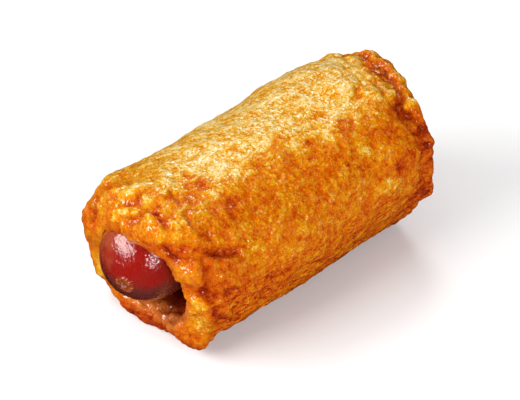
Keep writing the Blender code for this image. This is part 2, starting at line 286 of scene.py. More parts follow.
class NodeBench:
    """Puts together the nodes of one material.

    Attributes:
        material: The material.
        tree: Its node tree.
        surface: Its Principled shader.
    """

    def __init__(self, name: str) -> None:
        """Makes a material with a Principled shader."""
        self.material = bpy.data.materials.new(name)
        self.material.use_nodes = True
        self.tree = self.material.node_tree
        self.surface = self.tree.nodes["Principled BSDF"]

    def add(self, kind: str, inputs: dict, **settings: object) -> bpy.types.Node:
        """Adds a node.

        Args:
            kind: The node's type name.
            inputs: A value or a socket to link for each input, by its name or number.
            settings: The node's own settings.

        Returns:
            The new node.
        """
        node = self.tree.nodes.new(kind)
        for name, value in settings.items():
            setattr(node, name, value)
        for name, value in inputs.items():
            if isinstance(value, bpy.types.NodeSocket):
                self.tree.links.new(value, node.inputs[name])
            else:
                node.inputs[name].default_value = value
        return node

    def places(self, stretch: Point) -> bpy.types.NodeSocket:
        """The object's own coordinates in millimetres, divided by these stretches."""
        source = self.add("ShaderNodeTexCoord", {}).outputs["Object"]
        scale = tuple(1.0 / (MM * share) for share in stretch)
        return self.add("ShaderNodeMapping", {"Vector": source, "Scale": scale}).outputs["Vector"]

    def attribute(self, name: str) -> bpy.types.NodeSocket:
        """The value that was painted on the mesh under this name."""
        return self.add("ShaderNodeAttribute", {}, attribute_name=name).outputs["Fac"]

    def math(self, operation: str, *values: object, clamp: bool = False) -> bpy.types.NodeSocket:
        """A Math node's result for these values or sockets."""
        inputs = dict(enumerate(values))
        return self.add("ShaderNodeMath", inputs, operation=operation, use_clamp=clamp).outputs[0]

    def noise(self, places: bpy.types.NodeSocket, size: float, **more: float) -> bpy.types.NodeSocket:
        """A cloudy pattern from 0 to 1, with lumps of this size.

        Args:
            places: The coordinates that it reads.
            size: The size of its lumps.
            more: Detail, Roughness or Distortion of the Noise Texture.

        Returns:
            The pattern's socket.
        """
        inputs = {"Vector": places, "Scale": 1.0 / size, **more}
        return self.add("ShaderNodeTexNoise", inputs).outputs["Fac"]

    def sway(self, places: bpy.types.NodeSocket, size: float, reach: float) -> bpy.types.NodeSocket:
        """Bends coordinates out of their regular places.

        Args:
            places: The coordinates.
            size: The size of the bends.
            reach: How far they reach.

        Returns:
            The bent coordinates' socket.
        """
        bends = self.add("ShaderNodeTexNoise", {"Vector": places, "Scale": 1.0 / size, "Detail": 2.0})
        inputs = {0: bends.outputs["Color"], 1: (reach, reach, reach), 2: places}
        return self.add("ShaderNodeVectorMath", inputs, operation="MULTIPLY_ADD").outputs[0]

    def cells(self, places: bpy.types.NodeSocket, size: float, soft: float) -> bpy.types.NodeSocket:
        """Small pillows of this size, 0 in the creases between them and 1 on top."""
        inputs = {"Vector": places, "Scale": 1.0 / size}
        edge = self.add("ShaderNodeTexVoronoi", inputs, feature="DISTANCE_TO_EDGE").outputs["Distance"]
        span = {"Value": edge, "From Max": soft}
        return self.add("ShaderNodeMapRange", span, interpolation_type="SMOOTHSTEP").outputs[0]

    def domes(self, places: bpy.types.NodeSocket, size: float) -> bpy.types.NodeSocket:
        """Small round bubbles of this size side by side, 0 between them and 1 on top."""
        inputs = {"Vector": places, "Scale": 1.0 / size, "Smoothness": 0.35}
        near = self.add("ShaderNodeTexVoronoi", inputs, feature="SMOOTH_F1").outputs["Distance"]
        span = {"Value": near, "From Max": 0.75, "To Min": 1.0, "To Max": 0.0}
        return self.add("ShaderNodeMapRange", span, interpolation_type="SMOOTHSTEP").outputs[0]

    def lines(self, places: bpy.types.NodeSocket, size: float, width: float) -> bpy.types.NodeSocket:
        """Thin wandering lines, 1 on a line and 0 between lines.

        Args:
            places: The coordinates.
            size: How far apart the lines are, about.
            width: How wide they are, as a share of the pattern's range.

        Returns:
            The lines' socket.
        """
        level = self.math("SUBTRACT", self.noise(places, size, Detail=1.0), 0.5)
        span = {"Value": self.math("ABSOLUTE", level), "From Max": width, "To Min": 1.0, "To Max": 0.0}
        return self.add("ShaderNodeMapRange", span, interpolation_type="SMOOTHSTEP").outputs[0]

    def mix(self, share: object, first: object, second: object, blend: str = "MIX") -> bpy.types.NodeSocket:
        """A colour between two colours.

        Args:
            share: How much of the second colour shows.
            first: A colour or a socket.
            second: A colour or a socket.
            blend: How the second lies over the first.

        Returns:
            The mixed colour's socket.
        """
        inputs = {0: share, 6: _solid(first), 7: _solid(second)}
        mixer = self.add("ShaderNodeMix", inputs, data_type="RGBA", blend_type=blend)
        return mixer.outputs[2]

    def ramp(self, value: bpy.types.NodeSocket, stops: tuple[tuple[float, Colour], ...]) -> bpy.types.NodeSocket:
        """A colour that runs through stops as the value rises.

        Args:
            value: The value from 0 to 1.
            stops: Places from 0 to 1 with their colours.

        Returns:
            The colour's socket.
        """
        node = self.add("ShaderNodeValToRGB", {0: value})
        elements = node.color_ramp.elements
        elements[0].position, elements[0].color = stops[0][0], _solid(stops[0][1])
        elements[1].position, elements[1].color = stops[-1][0], _solid(stops[-1][1])
        for place, colour in stops[1:-1]:
            elements.new(place).color = _solid(colour)
        return node.outputs["Color"]

    def bump(self, height: bpy.types.NodeSocket, depth: float) -> bpy.types.NodeSocket:
        """A normal for a height from 0 to 1 that is this many millimetres deep."""
        inputs = {"Height": height, "Distance": depth * MM, "Strength": 1.0}
        return self.add("ShaderNodeBump", inputs).outputs["Normal"]


def _solid(value: object) -> object:
    """A colour with its alpha added, or the socket as it is."""
    return value if isinstance(value, bpy.types.NodeSocket) else (*value, 1.0)


@dataclass(frozen=True)
class FriedSkin:
    """The finish of the deep-fried wrapper: pale to red-brown, crinkled and oily.

    Attributes:
        tones: The colours that the skin takes as it browns, from 0 to 1; the pale end is partly a painted sheen and
            the dark end partly painted shade.
        fleck_and_glint: The colour of the tops of the palest bubbles, partly their own paler colour and partly a
            painted highlight.
        inside: The colour of the wall inside the opening.
        deep_inside_shade: The colour at the back of the opening, darker partly as painted shade in the recess.
        blister_size: The size of the small blisters on the pale skin.
        bubble_size: The size of the smallest bubbles, which lie everywhere.
        grit_size: The size of the finest crinkles.
        streak_size: How far apart the lengthwise wrinkles are.
        wrinkle_size: How far apart the wrinkles are that run every way.
        crinkle_depth: How deep the fine relief is.
    """

    tones: tuple[tuple[float, Colour], ...] = (
        (0.00, (0.73, 0.55, 0.28)),
        (0.09, (0.69, 0.46, 0.13)),
        (0.18, (0.645, 0.385, 0.036)),
        (0.28, (0.605, 0.292, 0.005)),
        (0.40, (0.58, 0.195, 0.002)),
        (0.54, (0.53, 0.123, 0.001)),
        (0.70, (0.46, 0.070, 0.001)),
        (0.86, (0.36, 0.030, 0.001)),
        (1.00, (0.20, 0.012, 0.001)),
    )
    fleck_and_glint: Colour = (0.84, 0.62, 0.30)
    inside: Colour = (0.55, 0.138, 0.020)
    deep_inside_shade: Colour = (0.29, 0.018, 0.003)
    blister_size: float = 1.25
    bubble_size: float = 0.85
    grit_size: float = 0.25
    streak_size: float = 1.1
    wrinkle_size: float = 1.5
    crinkle_depth: float = 1.0

    def material(self) -> bpy.types.Material:
        """Builds the finish."""
        bench = NodeBench("fried_skin")
        places = bench.places((1.0, 1.0, 1.0))
        swayed = bench.sway(places, 1.4, 1.2)
        blisters = bench.cells(swayed, self.blister_size, 0.16)
        blisters = bench.math("MULTIPLY", blisters, bench.attribute("blistered"))
        along = bench.sway(bench.places((1.0, 7.0, 1.0)), 2.5, 1.2)
        streaks = bench.lines(along, self.streak_size, 0.06)
        streaks = bench.math("MULTIPLY", streaks, bench.attribute("streaked"))
        wrinkles = bench.lines(bench.sway(places, 1.6, 0.8), self.wrinkle_size, 0.035)
        bubbles = bench.domes(bench.sway(places, 0.9, 0.9), self.bubble_size)
        grit = bench.noise(places, self.grit_size, Detail=2.0, Roughness=0.7)
        crumple = bench.noise(swayed, 1.7, Detail=1.5, Roughness=0.45)
        height = bench.math("MULTIPLY", grit, 0.03)
        shares = ((crumple, 0.55), (bubbles, 0.16), (blisters, 0.08), (streaks, -0.07), (wrinkles, -0.04))
        for pattern, share in shares:
            height = bench.math("MULTIPLY_ADD", pattern, share, height)
        height = bench.math("MULTIPLY", height, bench.math("MULTIPLY_ADD", bench.attribute("blistered"), -0.3, 1.0))
        normal = bench.bump(height, self.crinkle_depth)
        film = bench.math("MULTIPLY_ADD", bubbles, 0.05, bench.math("MULTIPLY", crumple, 0.5))
        shader = bench.surface
        relief = (grit, crumple, bubbles, blisters, streaks, wrinkles)
        bench.tree.links.new(self.colour(bench, places, relief), shader.inputs["Base Color"])
        bench.tree.links.new(normal, shader.inputs["Normal"])
        bench.tree.links.new(bench.bump(film, self.crinkle_depth), shader.inputs["Coat Normal"])
        bench.tree.links.new(bench.math("MULTIPLY_ADD", grit, 0.3, 0.1), shader.inputs["Roughness"])
        shader.inputs["Specular IOR Level"].default_value = 0.25
        shader.inputs["Specular Tint"].default_value = (1.0, 0.5, 0.1, 1.0)
        tops = bench.math("MULTIPLY_ADD", crumple, 3.0, bench.math("MULTIPLY_ADD", bubbles, 1.5, -2.0))
        tops = bench.math("MULTIPLY_ADD", bench.attribute("inside"), 0.4, tops, clamp=True)
        bench.tree.links.new(tops, shader.inputs["Coat Weight"])
        shader.inputs["Coat IOR"].default_value = 1.8
        shader.inputs["Coat Roughness"].default_value = 0.08
        shader.inputs["Subsurface Weight"].default_value = 0.05
        shader.inputs["Subsurface Radius"].default_value = (1.0, 0.35, 0.1)
        shader.inputs["Subsurface Scale"].default_value = 0.5 * MM
        return bench.material

    def colour(self, bench: NodeBench, places: bpy.types.NodeSocket, relief: tuple) -> bpy.types.NodeSocket:
        """Browns the skin: paler on its tops, partly a painted highlight, more brown in its creases, partly painted
        shade, and in blotches.

        Args:
            bench: The material's nodes.
            places: The piece's coordinates in millimetres.
            relief: The grit, the crumples, the bubbles, the blisters, the streaks and the wrinkles.

        Returns:
            The colour's socket.
        """
        grit, crumple, bubbles, blisters, streaks, wrinkles = relief
        blotch = bench.noise(places, 4.0, Detail=3.0, Roughness=0.6)
        mottle = bench.noise(places, 1.2, Detail=2.0, Roughness=0.6)
        browning_and_shade = bench.math("MULTIPLY", blotch, 0.0)
        # Paler on the tops of crinkles and bubbles, partly a painted highlight; more brown along streaks and
        # wrinkles, partly painted shade.
        for pattern, middle, share in (
            (grit, 0.5, -0.9),
            (crumple, 0.5, -0.6),
            (bubbles, 0.5, -0.16),
            (blisters, 0.5, -0.14),
            (streaks, 0.0, 0.40),
            (wrinkles, 0.0, 0.18),
            (blotch, 0.5, 0.45),
            (mottle, 0.5, 0.35),
        ):
            browning_and_shade = bench.math("MULTIPLY_ADD", bench.math("SUBTRACT", pattern, middle), share, browning_and_shade)
        lively = bench.math("MULTIPLY_ADD", bench.attribute("calm"), -0.4, 1.0)
        lively = bench.math("MULTIPLY_ADD", bench.attribute("blistered"), 0.05, lively)
        browning_and_shade = bench.math("MULTIPLY_ADD", browning_and_shade, lively, bench.attribute("browning_and_shade"))
        skin = bench.ramp(bench.math("ADD", browning_and_shade, 0.0, clamp=True), self.tones)
        # Pale specks on the bubble tops, partly their own paler colour and partly painted highlights.
        cluster = bench.noise(places, 2.6, Detail=2.0, Roughness=0.6)
        glint_specks = bench.math("MULTIPLY_ADD", cluster, 5.0, bench.math("MULTIPLY_ADD", bubbles, 2.5, -3.8), clamp=True)
        skin = bench.mix(bench.math("MULTIPLY", glint_specks, bench.attribute("glint_flecked")), skin, self.fleck_and_glint)
        # Darker towards the back of the opening, partly painted shade.
        inner = bench.ramp(bench.attribute("inside_shade_depth"), ((0.0, self.inside), (1.0, self.deep_inside_shade)))
        return bench.mix(bench.attribute("inside"), skin, inner)


@dataclass(frozen=True)
class SausageCasing:
    """The finish of the sausage: a tight glossy casing, deep red, with painted shade darkening its lower side.

    Attributes:
        red: The colour of the upper side.
        lower_shade: The colour of the painted shade on the lower side.
        tan: The colour of the paler upper left side, under the hood.
        crust: The colour of the dried knot at the tip.
    """

    red: Colour = (0.24, 0.004, 0.001)
    lower_shade: Colour = (0.10, 0.018, 0.014)
    tan: Colour = (0.37, 0.075, 0.024)
    crust: Colour = (0.26, 0.048, 0.004)

    def material(self) -> bpy.types.Material:
        """Builds the finish."""
        bench = NodeBench("sausage_casing")
        places = bench.places((1.0, 1.0, 1.0))
        mottle = bench.noise(places, 2.2, Detail=3.0, Roughness=0.6)
        fine = bench.noise(places, 0.7, Detail=2.0, Roughness=0.6)
        # Painted shade darkens the casing's lower side.
        share = bench.math("MULTIPLY_ADD", bench.math("SUBTRACT", mottle, 0.5), 0.5, bench.attribute("lower_shade"))
        colour = bench.mix(bench.math("ADD", share, 0.0, clamp=True), self.red, self.lower_shade)
        colour = bench.mix(bench.attribute("tan"), colour, self.tan)
        colour = bench.mix(bench.attribute("knot"), colour, self.crust)
        shader = bench.surface
        bench.tree.links.new(colour, shader.inputs["Base Color"])
        normal = bench.bump(bench.math("MULTIPLY_ADD", mottle, 2.0, fine), 0.09)
        bench.tree.links.new(normal, shader.inputs["Normal"])
        bench.tree.links.new(normal, shader.inputs["Coat Normal"])
        gloss = bench.math("MULTIPLY_ADD", mottle, 0.2, 0.16)
        bench.tree.links.new(gloss, shader.inputs["Roughness"])
        shader.inputs["Specular IOR Level"].default_value = 0.3
        bench.tree.links.new(bench.math("MULTIPLY_ADD", bench.attribute("knot"), -0.8, 1.0), shader.inputs["Coat Weight"])
        shader.inputs["Coat Roughness"].default_value = 0.1
        shader.inputs["Subsurface Weight"].default_value = 0.1
        shader.inputs["Subsurface Radius"].default_value = (1.0, 0.2, 0.1)
        shader.inputs["Subsurface Scale"].default_value = 1.5 * MM
        return bench.material


@dataclass(frozen=True)
class PaleFloor:
    """The finish of the studio's floor."""

    colour: Colour = (0.9, 0.9, 0.9)

    def material(self) -> bpy.types.Material:
        """Builds the finish."""
        bench = NodeBench("pale_floor")
        cloud = bench.noise(bench.places((1.0, 1.0, 1.0)), 60.0, Detail=2.0)
        near_white = tuple(0.99 * part for part in self.colour)
        colour = bench.mix(cloud, self.colour, near_white)
        bench.tree.links.new(colour, bench.surface.inputs["Base Color"])
        bench.surface.inputs["Roughness"].default_value = 0.9
        bench.surface.inputs["Specular IOR Level"].default_value = 0.1
        return bench.material


def select_only(thing: bpy.types.Object) -> None:
    """Makes one object the only selected and the active one."""
    bpy.ops.object.select_all(action="DESELECT")
    thing.select_set(True)
    bpy.context.view_layer.objects.active = thing


def apply_modifier(thing: bpy.types.Object, kind: str, **settings: object) -> None:
    """Adds a modifier to an object and applies it.

    Args:
        thing: The object.
        kind: The modifier's type name.
        settings: The modifier's settings.
    """
    select_only(thing)
    modifier = thing.modifiers.new(kind.lower(), kind)
    for name, value in settings.items():
        setattr(modifier, name, value)
    bpy.ops.object.modifier_apply(modifier=modifier.name)


def merged_copy(node: str, name: str) -> bpy.types.Object:
    """Copies a solid's mesh into a new piece, with its points merged and its faces four-sided.

    Args:
        node: The name of the solid.
        name: The name of the piece.

    Returns:
        The new object.
    """
    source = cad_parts[node]
    piece = bpy.data.objects.new(name, source.data.copy())
    piece.data.name = name
    bpy.context.scene.collection.objects.link(piece)
    select_only(piece)
    bpy.ops.object.mode_set(mode="EDIT")
    bpy.ops.mesh.select_all(action="SELECT")
    bpy.ops.mesh.customdata_custom_splitnormals_clear()
    bpy.ops.mesh.remove_doubles(threshold=MERGE_GAP)
    bpy.ops.mesh.tris_convert_to_quads(face_threshold=math.radians(50), shape_threshold=math.radians(50))
    bpy.ops.mesh.normals_make_consistent(inside=False)
    bpy.ops.object.mode_set(mode="OBJECT")
    piece.data.materials.clear()
    return piece


def hand_over(piece: bpy.types.Object, node: str, finish: bpy.types.Material) -> None:
    """Gives a finished piece its material and its place in the frame.

    Args:
        piece: The piece.
        node: The solid that it stands for, which is its material slot's name too.
        finish: Its material.
    """
    piece.data.materials.append(finish)
    select_only(piece)
    bpy.ops.object.shade_smooth()
    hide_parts(node)
    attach(piece, "root")
    log.info("%s: %d faces", piece.name, len(piece.data.polygons))


@dataclass
class Wrapper:
    """The fried wrapper, worked up from its solid.

    Attributes:
        voxel: The size of its faces.
        lip_gap: Nearer than this to the sausage, the wall stays as the solid has it.
        free_gap: Further than this from the sausage, the skin is crinkled fully.
        tuck_start: In front of this, the opening's rim is drawn in to the sausage.
        tuck_gap: How far from the sausage it stays.
        middle_height: The height of the roll's middle line.
        pale_angle: Where round the roll the skin is palest, in degrees from +X; this pale band is partly the skin's
            own colour and partly a painted sheen.
        pale_front: How far round the pale band begins and ends to brown on the ear's side.
        pale_back: How far round it does on the other side.
        golden_angle: Where round the roll the brown flank is a little paler again.
        golden_spread: How far that band reaches.
        ends_start: How far from the middle the skin begins to be lumpier.
        ends_full: Where it is lumpiest.
        layers: The grains of the skin's relief.
        hem: The grain of its ragged lower edge.
        creases: The fold lines.
        patches: The blisters, and where the skin is paler or more brown.
    """

    voxel: float = 0.54
    lip_gap: float = 0.7
    free_gap: float = 2.4
    tuck_start: float = -36.0
    tuck_gap: float = 0.12
    middle_height: float = 21.0
    pale_angle: float = 110.0
    pale_front: tuple[float, float] = (18.0, 80.0)
    pale_back: tuple[float, float] = (50.0, 85.0)
    golden_angle: float = 24.0
    golden_spread: float = 22.0
    ends_start: float = 24.0
    ends_full: float = 40.0
    layers: tuple[SkinLayer, ...] = (
        SkinLayer(Grain(Relief.SWELL, (9.0, 12.0, 9.0), 2, 3.1), 0.08, 0.15, 0.0),
        SkinLayer(Grain(Relief.BILLOW, (5.0, 6.0, 5.0), 2, 11.4, 0.5), 0.08, 0.20, 0.03),
        SkinLayer(Grain(Relief.PILLOW, (3.2, 3.6, 3.2), 1, 5.7, 0.6), 0.04, 0.09, 0.03),
        SkinLayer(Grain(Relief.BILLOW, (1.8, 2.4, 1.8), 1, 23.9, 0.6), 0.05, 0.03, 0.02),
    )
    hem: SkinLayer = SkinLayer(Grain(Relief.BILLOW, (2.4, 3.4, 2.4), 2, 77.0, 0.5), 0.30, 0.30, 0.12)
    creases: tuple[Crease, ...] = (
        # Over the ear and down its right side.
        Crease(((11.0, -42.0, 34.0), (13.5, -41.0, 32.5), (16.5, -40.0, 32.5), (18.0, -37.5, 34.0), (19.0, -34.0, 33.5), (20.0, -30.5, 32.0), (21.5, -27.5, 31.5)), 1.0, 0.9, 0.36),
        Crease(((20.5, -36.5, 32.5), (21.5, -37.0, 28.5), (21.0, -37.0, 23.5), (18.5, -39.5, 22.5)), 0.8, 0.9, 0.30),
        Crease(((22.0, -32.5, 31.0), (23.5, -30.5, 29.0), (24.0, -32.0, 27.0), (22.0, -34.5, 24.5)), 0.9, 0.45, 0.22),
        Crease(((21.5, -36.5, 22.5), (23.0, -33.5, 23.0), (24.0, -29.5, 22.5), (24.5, -26.0, 22.5), (25.0, -21.5, 21.5), (25.5, -13.5, 19.5)), 0.8, 0.4, 0.20),
        Crease(((24.0, -37.0, 19.5), (24.5, -32.0, 19.0), (25.0, -26.5, 18.5), (25.5, -21.5, 18.0), (25.0, -13.5, 15.0)), 0.8, 0.3, 0.16),
        Crease(((22.5, -36.0, 22.0), (23.5, -36.0, 19.5), (23.5, -34.0, 14.0)), 1.2, 0.6, 0.22),
        Crease(((23.5, -36.5, 18.5), (23.0, -34.5, 14.0), (22.5, -32.0, 11.5), (23.5, -29.5, 12.0)), 1.1, 0.4, 0.18),
        Crease(((19.5, -40.0, 16.5), (21.5, -39.5, 17.5)), 0.4, 0.3, 0.25),
        Crease(((15.5, -40.0, 11.0), (18.0, -40.0, 8.5), (20.5, -38.5, 7.5)), 0.5, 0.3, 0.20),
        # The hood over the sausage: round a blister, under it, and the star beside the fat lobe.
        Crease(((-4.0, -42.5, 39.0), (-1.5, -40.5, 39.0), (-1.0, -39.0, 40.0), (-2.0, -37.5, 41.0)), 0.6, 0.5, 0.42),
        Crease(((-1.0, -44.0, 36.0), (1.0, -43.0, 37.0), (2.5, -41.0, 38.5)), 0.9, 0.6, 0.36),
        Crease(((0.0, -39.5, 39.5), (2.5, -39.0, 39.5), (5.5, -39.0, 40.0), (8.5, -39.5, 40.0), (10.5, -40.0, 39.0)), 0.6, 0.6, 0.38),
        Crease(((5.5, -39.0, 40.0), (5.0, -36.5, 40.5), (4.5, -34.5, 41.5)), 0.6, 0.4, 0.32),
        Crease(((10.5, -34.0, 40.0), (13.5, -35.0, 38.5), (16.0, -34.0, 36.5)), 0.6, 0.4, 0.25),
        Crease(((9.0, -37.0, 40.0), (11.0, -36.5, 40.0), (14.0, -36.0, 39.0)), 0.5, 0.4, 0.12),
        Crease(((-15.0, -39.0, 36.0), (-10.5, -40.5, 39.0), (-9.0, -39.0, 40.0)), 0.6, 0.4, 0.30),
        Crease(((-8.5, -42.0, 38.5), (-6.0, -43.5, 37.5), (-5.5, -45.0, 35.5)), 0.7, 0.3, 0.26),
        Crease(((3.0, -32.5, 41.5), (5.0, -32.5, 41.0), (7.0, -32.5, 41.0)), 0.6, 0.4, 0.30),
        Crease(((-1.0, -36.5, 41.5), (2.0, -36.5, 41.5), (4.5, -37.0, 40.5)), 0.6, 0.3, 0.26),
        Crease(((-6.0, -44.0, 30.0), (0.5, -45.0, 33.0), (5.0, -44.0, 33.5), (8.5, -43.0, 32.5), (11.0, -41.5, 30.0)), 1.5, 0.0, 0.24),
        # Across the top, behind the hood.
        Crease(((0.5, -25.5, 41.5), (4.0, -25.5, 41.0), (6.5, -24.0, 41.0)), 0.7, 0.2, 0.22),
        Crease(((11.5, -22.0, 39.5), (14.0, -21.5, 38.5), (16.0, -24.0, 38.0)), 0.8, 0.2, 0.22),
        Crease(((16.5, -33.0, 38.0), (18.0, -31.0, 35.5), (19.0, -28.0, 35.0)), 0.9, 0.4, 0.24),
        Crease(((13.0, -41.5, 32.5), (16.5, -40.0, 32.5), (18.0, -37.5, 34.0)), 1.3, 0.2, 0.18),
        # Across the ear's rim.
        Crease(((14.0, -41.5, 24.5), (17.0, -40.5, 24.5), (19.0, -39.5, 25.0)), 0.6, 0.6, 0.18),
        Crease(((15.5, -41.0, 19.0), (18.5, -40.0, 19.0)), 0.5, 0.5, 0.14),
        # The wrinkled wall inside the opening, under the sausage.
        Crease(((1.0, -40.0, 6.5), (4.0, -38.0, 6.0), (6.5, -36.0, 5.5), (10.0, -34.0, 5.0)), 0.8, 0.7, 0.0),
        Crease(((2.5, -41.0, 5.5), (6.5, -38.5, 5.5), (12.5, -39.5, 9.0), (15.5, -39.0, 13.0)), 0.8, 0.6, 0.0),
        # The bulb on the left.
        Crease(((-15.0, -41.5, 34.0), (-14.5, -42.5, 30.0), (-15.0, -43.5, 25.0)), 0.9, 0.4, 0.12),
        # The rear, where the skin is tucked in.
        Crease(((-11.5, 43.5, 37.0), (-7.0, 43.0, 39.0), (-1.5, 42.5, 39.5), (1.5, 42.0, 39.0), (6.0, 40.0, 39.0)), 0.8, 0.9, 0.36, 1.3),
        Crease(((-3.0, 39.5, 40.5), (1.0, 39.0, 40.0), (4.5, 37.5, 40.0)), 0.6, 0.6, 0.30, 1.3),
        Crease(((9.0, 39.5, 38.5), (11.0, 38.0, 38.5), (12.0, 37.0, 38.5), (12.5, 35.0, 37.5), (13.5, 36.0, 36.0), (15.0, 37.5, 35.5)), 0.8, 0.7, 0.24, 0.8),
        Crease(((15.0, 37.5, 35.5), (16.5, 38.0, 35.0), (18.0, 38.0, 34.0), (20.0, 38.0, 32.0), (21.5, 38.0, 30.0)), 0.8, 0.8, 0.30, 0.9),
        Crease(((15.0, 34.5, 37.0), (18.0, 35.5, 35.0), (20.5, 35.5, 32.5), (22.5, 35.5, 29.0)), 0.8, 0.45, 0.24),
        Crease(((4.0, 29.0, 42.0), (6.0, 27.5, 41.5), (6.5, 25.0, 41.0)), 0.6, 0.5, 0.28),
        Crease(((23.5, 30.0, 30.5), (24.0, 27.0, 29.5), (24.0, 23.5, 29.0), (24.5, 21.5, 27.5)), 1.1, 0.4, 0.22),
        Crease(((22.0, 37.0, 29.5), (23.5, 38.0, 25.0), (24.5, 36.0, 19.5), (24.0, 33.0, 16.0)), 2.2, 0.0, 0.26),
        Crease(((23.5, 36.0, 17.5), (23.5, 34.5, 17.5), (24.0, 31.5, 17.0), (23.5, 29.5, 14.0)), 0.9, 0.4, 0.24),
    )
    patches: tuple[Patch, ...] = (
        # The ear's upper edge, its two lobes and its tip; the paler upper edge is partly a painted highlight.
        Patch((15.5, -40.0, 31.5), 1.8, 0.4, -0.18),
        Patch((18.5, -38.5, 33.0), 1.8, 0.4, -0.18),
        Patch((19.5, -40.5, 28.5), 3.2, 0.3, -0.02),
        Patch((19.5, -39.5, 20.5), 2.4, 0.4, -0.22),
        Patch((20.5, -39.0, 14.5), 3.0, 0.3, -0.26),
        Patch((16.5, -41.0, 29.0), 2.0, 0.4, -0.10),
        Patch((15.5, -41.5, 27.0), 1.6, 0.6, -0.04),
        Patch((17.0, -41.0, 22.0), 1.5, 0.6, -0.04),
        Patch((17.5, -40.5, 16.5), 1.8, 0.6, -0.06),
        Patch((21.0, -39.0, 21.5), 2.0, 0.5, -0.14),
        Patch((22.5, -33.0, 29.5), 2.6, 0.4, 0.04),
        Patch((20.0, -38.5, 8.0), 3.6, 0.2, -0.19),
        # The hood's three-sided lobe and its fat lobe.
        Patch((4.0, -40.5, 39.5), 1.8, 0.4, -0.12),
        Patch((5.0, -43.0, 38.0), 2.4, 0.5, -0.12),
        Patch((9.5, -42.0, 38.5), 2.4, 0.4, -0.10),
        Patch((11.5, -39.0, 39.5), 2.6, 0.6, -0.18),
        Patch((15.0, -37.5, 38.0), 2.4, 0.4, -0.04),
        # Blisters.
        Patch((-5.0, -38.5, 40.5), 2.2, 0.6, -0.20),
        Patch((0.5, -38.0, 40.5), 1.4, 0.4, -0.12),
        Patch((5.5, -36.0, 41.0), 1.8, 0.4, -0.2),
        Patch((2.0, -31.0, 41.5), 2.6, 0.4, -0.22),
        Patch((-1.5, -43.0, 38.0), 1.3, 0.4, -0.18),
        Patch((0.0, -41.0, 38.5), 1.3, 0.4, -0.18),
        Patch((-8.5, -40.5, 39.5), 1.8, 0.4, -0.10),
        Patch((-5.5, -44.5, 36.5), 1.8, 0.3, -0.10),
        Patch((-4.5, -34.5, 41.0), 1.8, 0.4, -0.16),
        Patch((-1.5, -30.5, 41.5), 1.6, 0.3, -0.14),
        Patch((8.5, -34.5, 40.5), 1.6, 0.4, -0.16),
        Patch((-3.0, -23.0, 41.0), 1.8, 0.25, -0.12),
        Patch((-1.5, -17.5, 41.0), 1.8, 0.25, -0.12),
        Patch((3.0, -16.5, 41.0), 1.5, 0.25, -0.12),
        Patch((7.0, -14.0, 41.0), 1.8, 0.25, -0.14),
        Patch((1.5, 1.0, 42.0), 1.5, 0.2, -0.10),
        Patch((4.0, -39.0, 5.5), 1.3, 0.7, 0.0),
        Patch((8.0, -37.5, 6.0), 1.5, 0.7, 0.0),
        Patch((11.0, -37.5, 7.5), 1.3, 0.7, 0.0),
        Patch((-1.0, -41.0, 6.0), 1.3, 0.6, 0.0),
        Patch((-14.5, -43.5, 13.5), 2.4, 0.0, -0.26),
        Patch((-13.5, -43.5, 9.5), 2.4, 0.0, -0.26),
        Patch((-8.5, -43.5, 6.0), 2.4, 0.0, -0.18),
        Patch((-18.0, -42.5, 28.5), 2.0, 0.3, 0.0),
        Patch((1.5, 27.5, 42.0), 2.2, 0.4, -0.12),
        Patch((24.5, 23.0, 27.0), 2.6, 0.3, -0.25),
        Patch((6.5, 19.5, 41.5), 2.2, 0.2, -0.15),
        # The rear's ridges.
        Patch((0.5, 40.0, 40.0), 1.3, 0.6, -0.14),
        Patch((-3.5, 40.5, 40.5), 1.3, 0.6, -0.14),
        Patch((9.5, 36.5, 39.5), 1.5, 0.6, -0.10),
        Patch((13.0, 38.5, 36.5), 1.3, 0.6, -0.10),
        Patch((3.0, 40.0, 39.5), 1.3, 0.5, -0.20),
        Patch((5.5, 39.0, 39.5), 1.3, 0.4, -0.20),
        Patch((15.0, 37.5, 35.5), 1.3, 0.5, -0.18),
        Patch((17.5, 37.0, 33.5), 1.3, 0.5, -0.18),
        Patch((20.0, 37.0, 31.0), 1.3, 0.4, -0.14),
        Patch((8.5, 31.5, 42.0), 2.0, 0.4, -0.10),
        # Where the skin is more brown; the two broad patches beside the ear are partly painted shade under the hood.
        Patch((-2.0, 41.0, 40.0), 3.2, 0.0, 0.18),
        Patch((3.0, 38.5, 40.0), 3.8, 0.0, 0.18),
        Patch((9.0, 36.5, 39.5), 3.8, 0.0, 0.14),
        Patch((18.0, 26.5, 37.5), 3.0, 0.0, 0.12),
        Patch((23.5, 26.5, 30.0), 3.0, 0.0, 0.18),
        Patch((-16.5, -42.5, 29.0), 4.0, 0.0, 0.22),
        Patch((7.0, -28.0, 40.5), 3.0, 0.0, 0.06),
        Patch((12.0, -23.5, 39.5), 4.5, 0.0, 0.14),
        Patch((13.5, -38.5, 33.5), 3.5, 0.0, 0.10),
        Patch((21.0, -38.0, 27.0), 4.0, 0.0, 0.12),
        Patch((12.5, 36.0, 37.0), 4.0, 0.0, 0.08),
        Patch((19.5, 11.5, 36.0), 0.5, 0.0, 0.7),
        Patch((25.0, -6.5, 26.5), 0.5, 0.0, 0.5),
        Patch((20.5, 37.0, 31.0), 4.0, 0.0, 0.08),
    )

    def build(self) -> bpy.types.Object:
        """Builds and dresses the wrapper."""
        piece = self.refined()
        skin = Skin(piece)
        self.tuck(skin)
        freedom, facing = self.near_the_sausage(skin)
        browning_and_shade = self.plain_browning_and_shade(skin)
        browning_and_shade += self.shape(skin, freedom)
        # This tone holds the skin's own colour with painted shade in the creases and low down, and a painted sheen on
        # the pale top.
        skin.paint("browning_and_shade", browning_and_shade)
        skin.paint("blistered", rise(browning_and_shade, 0.36, 0.16))
        skin.paint("streaked", self.streaked(skin))
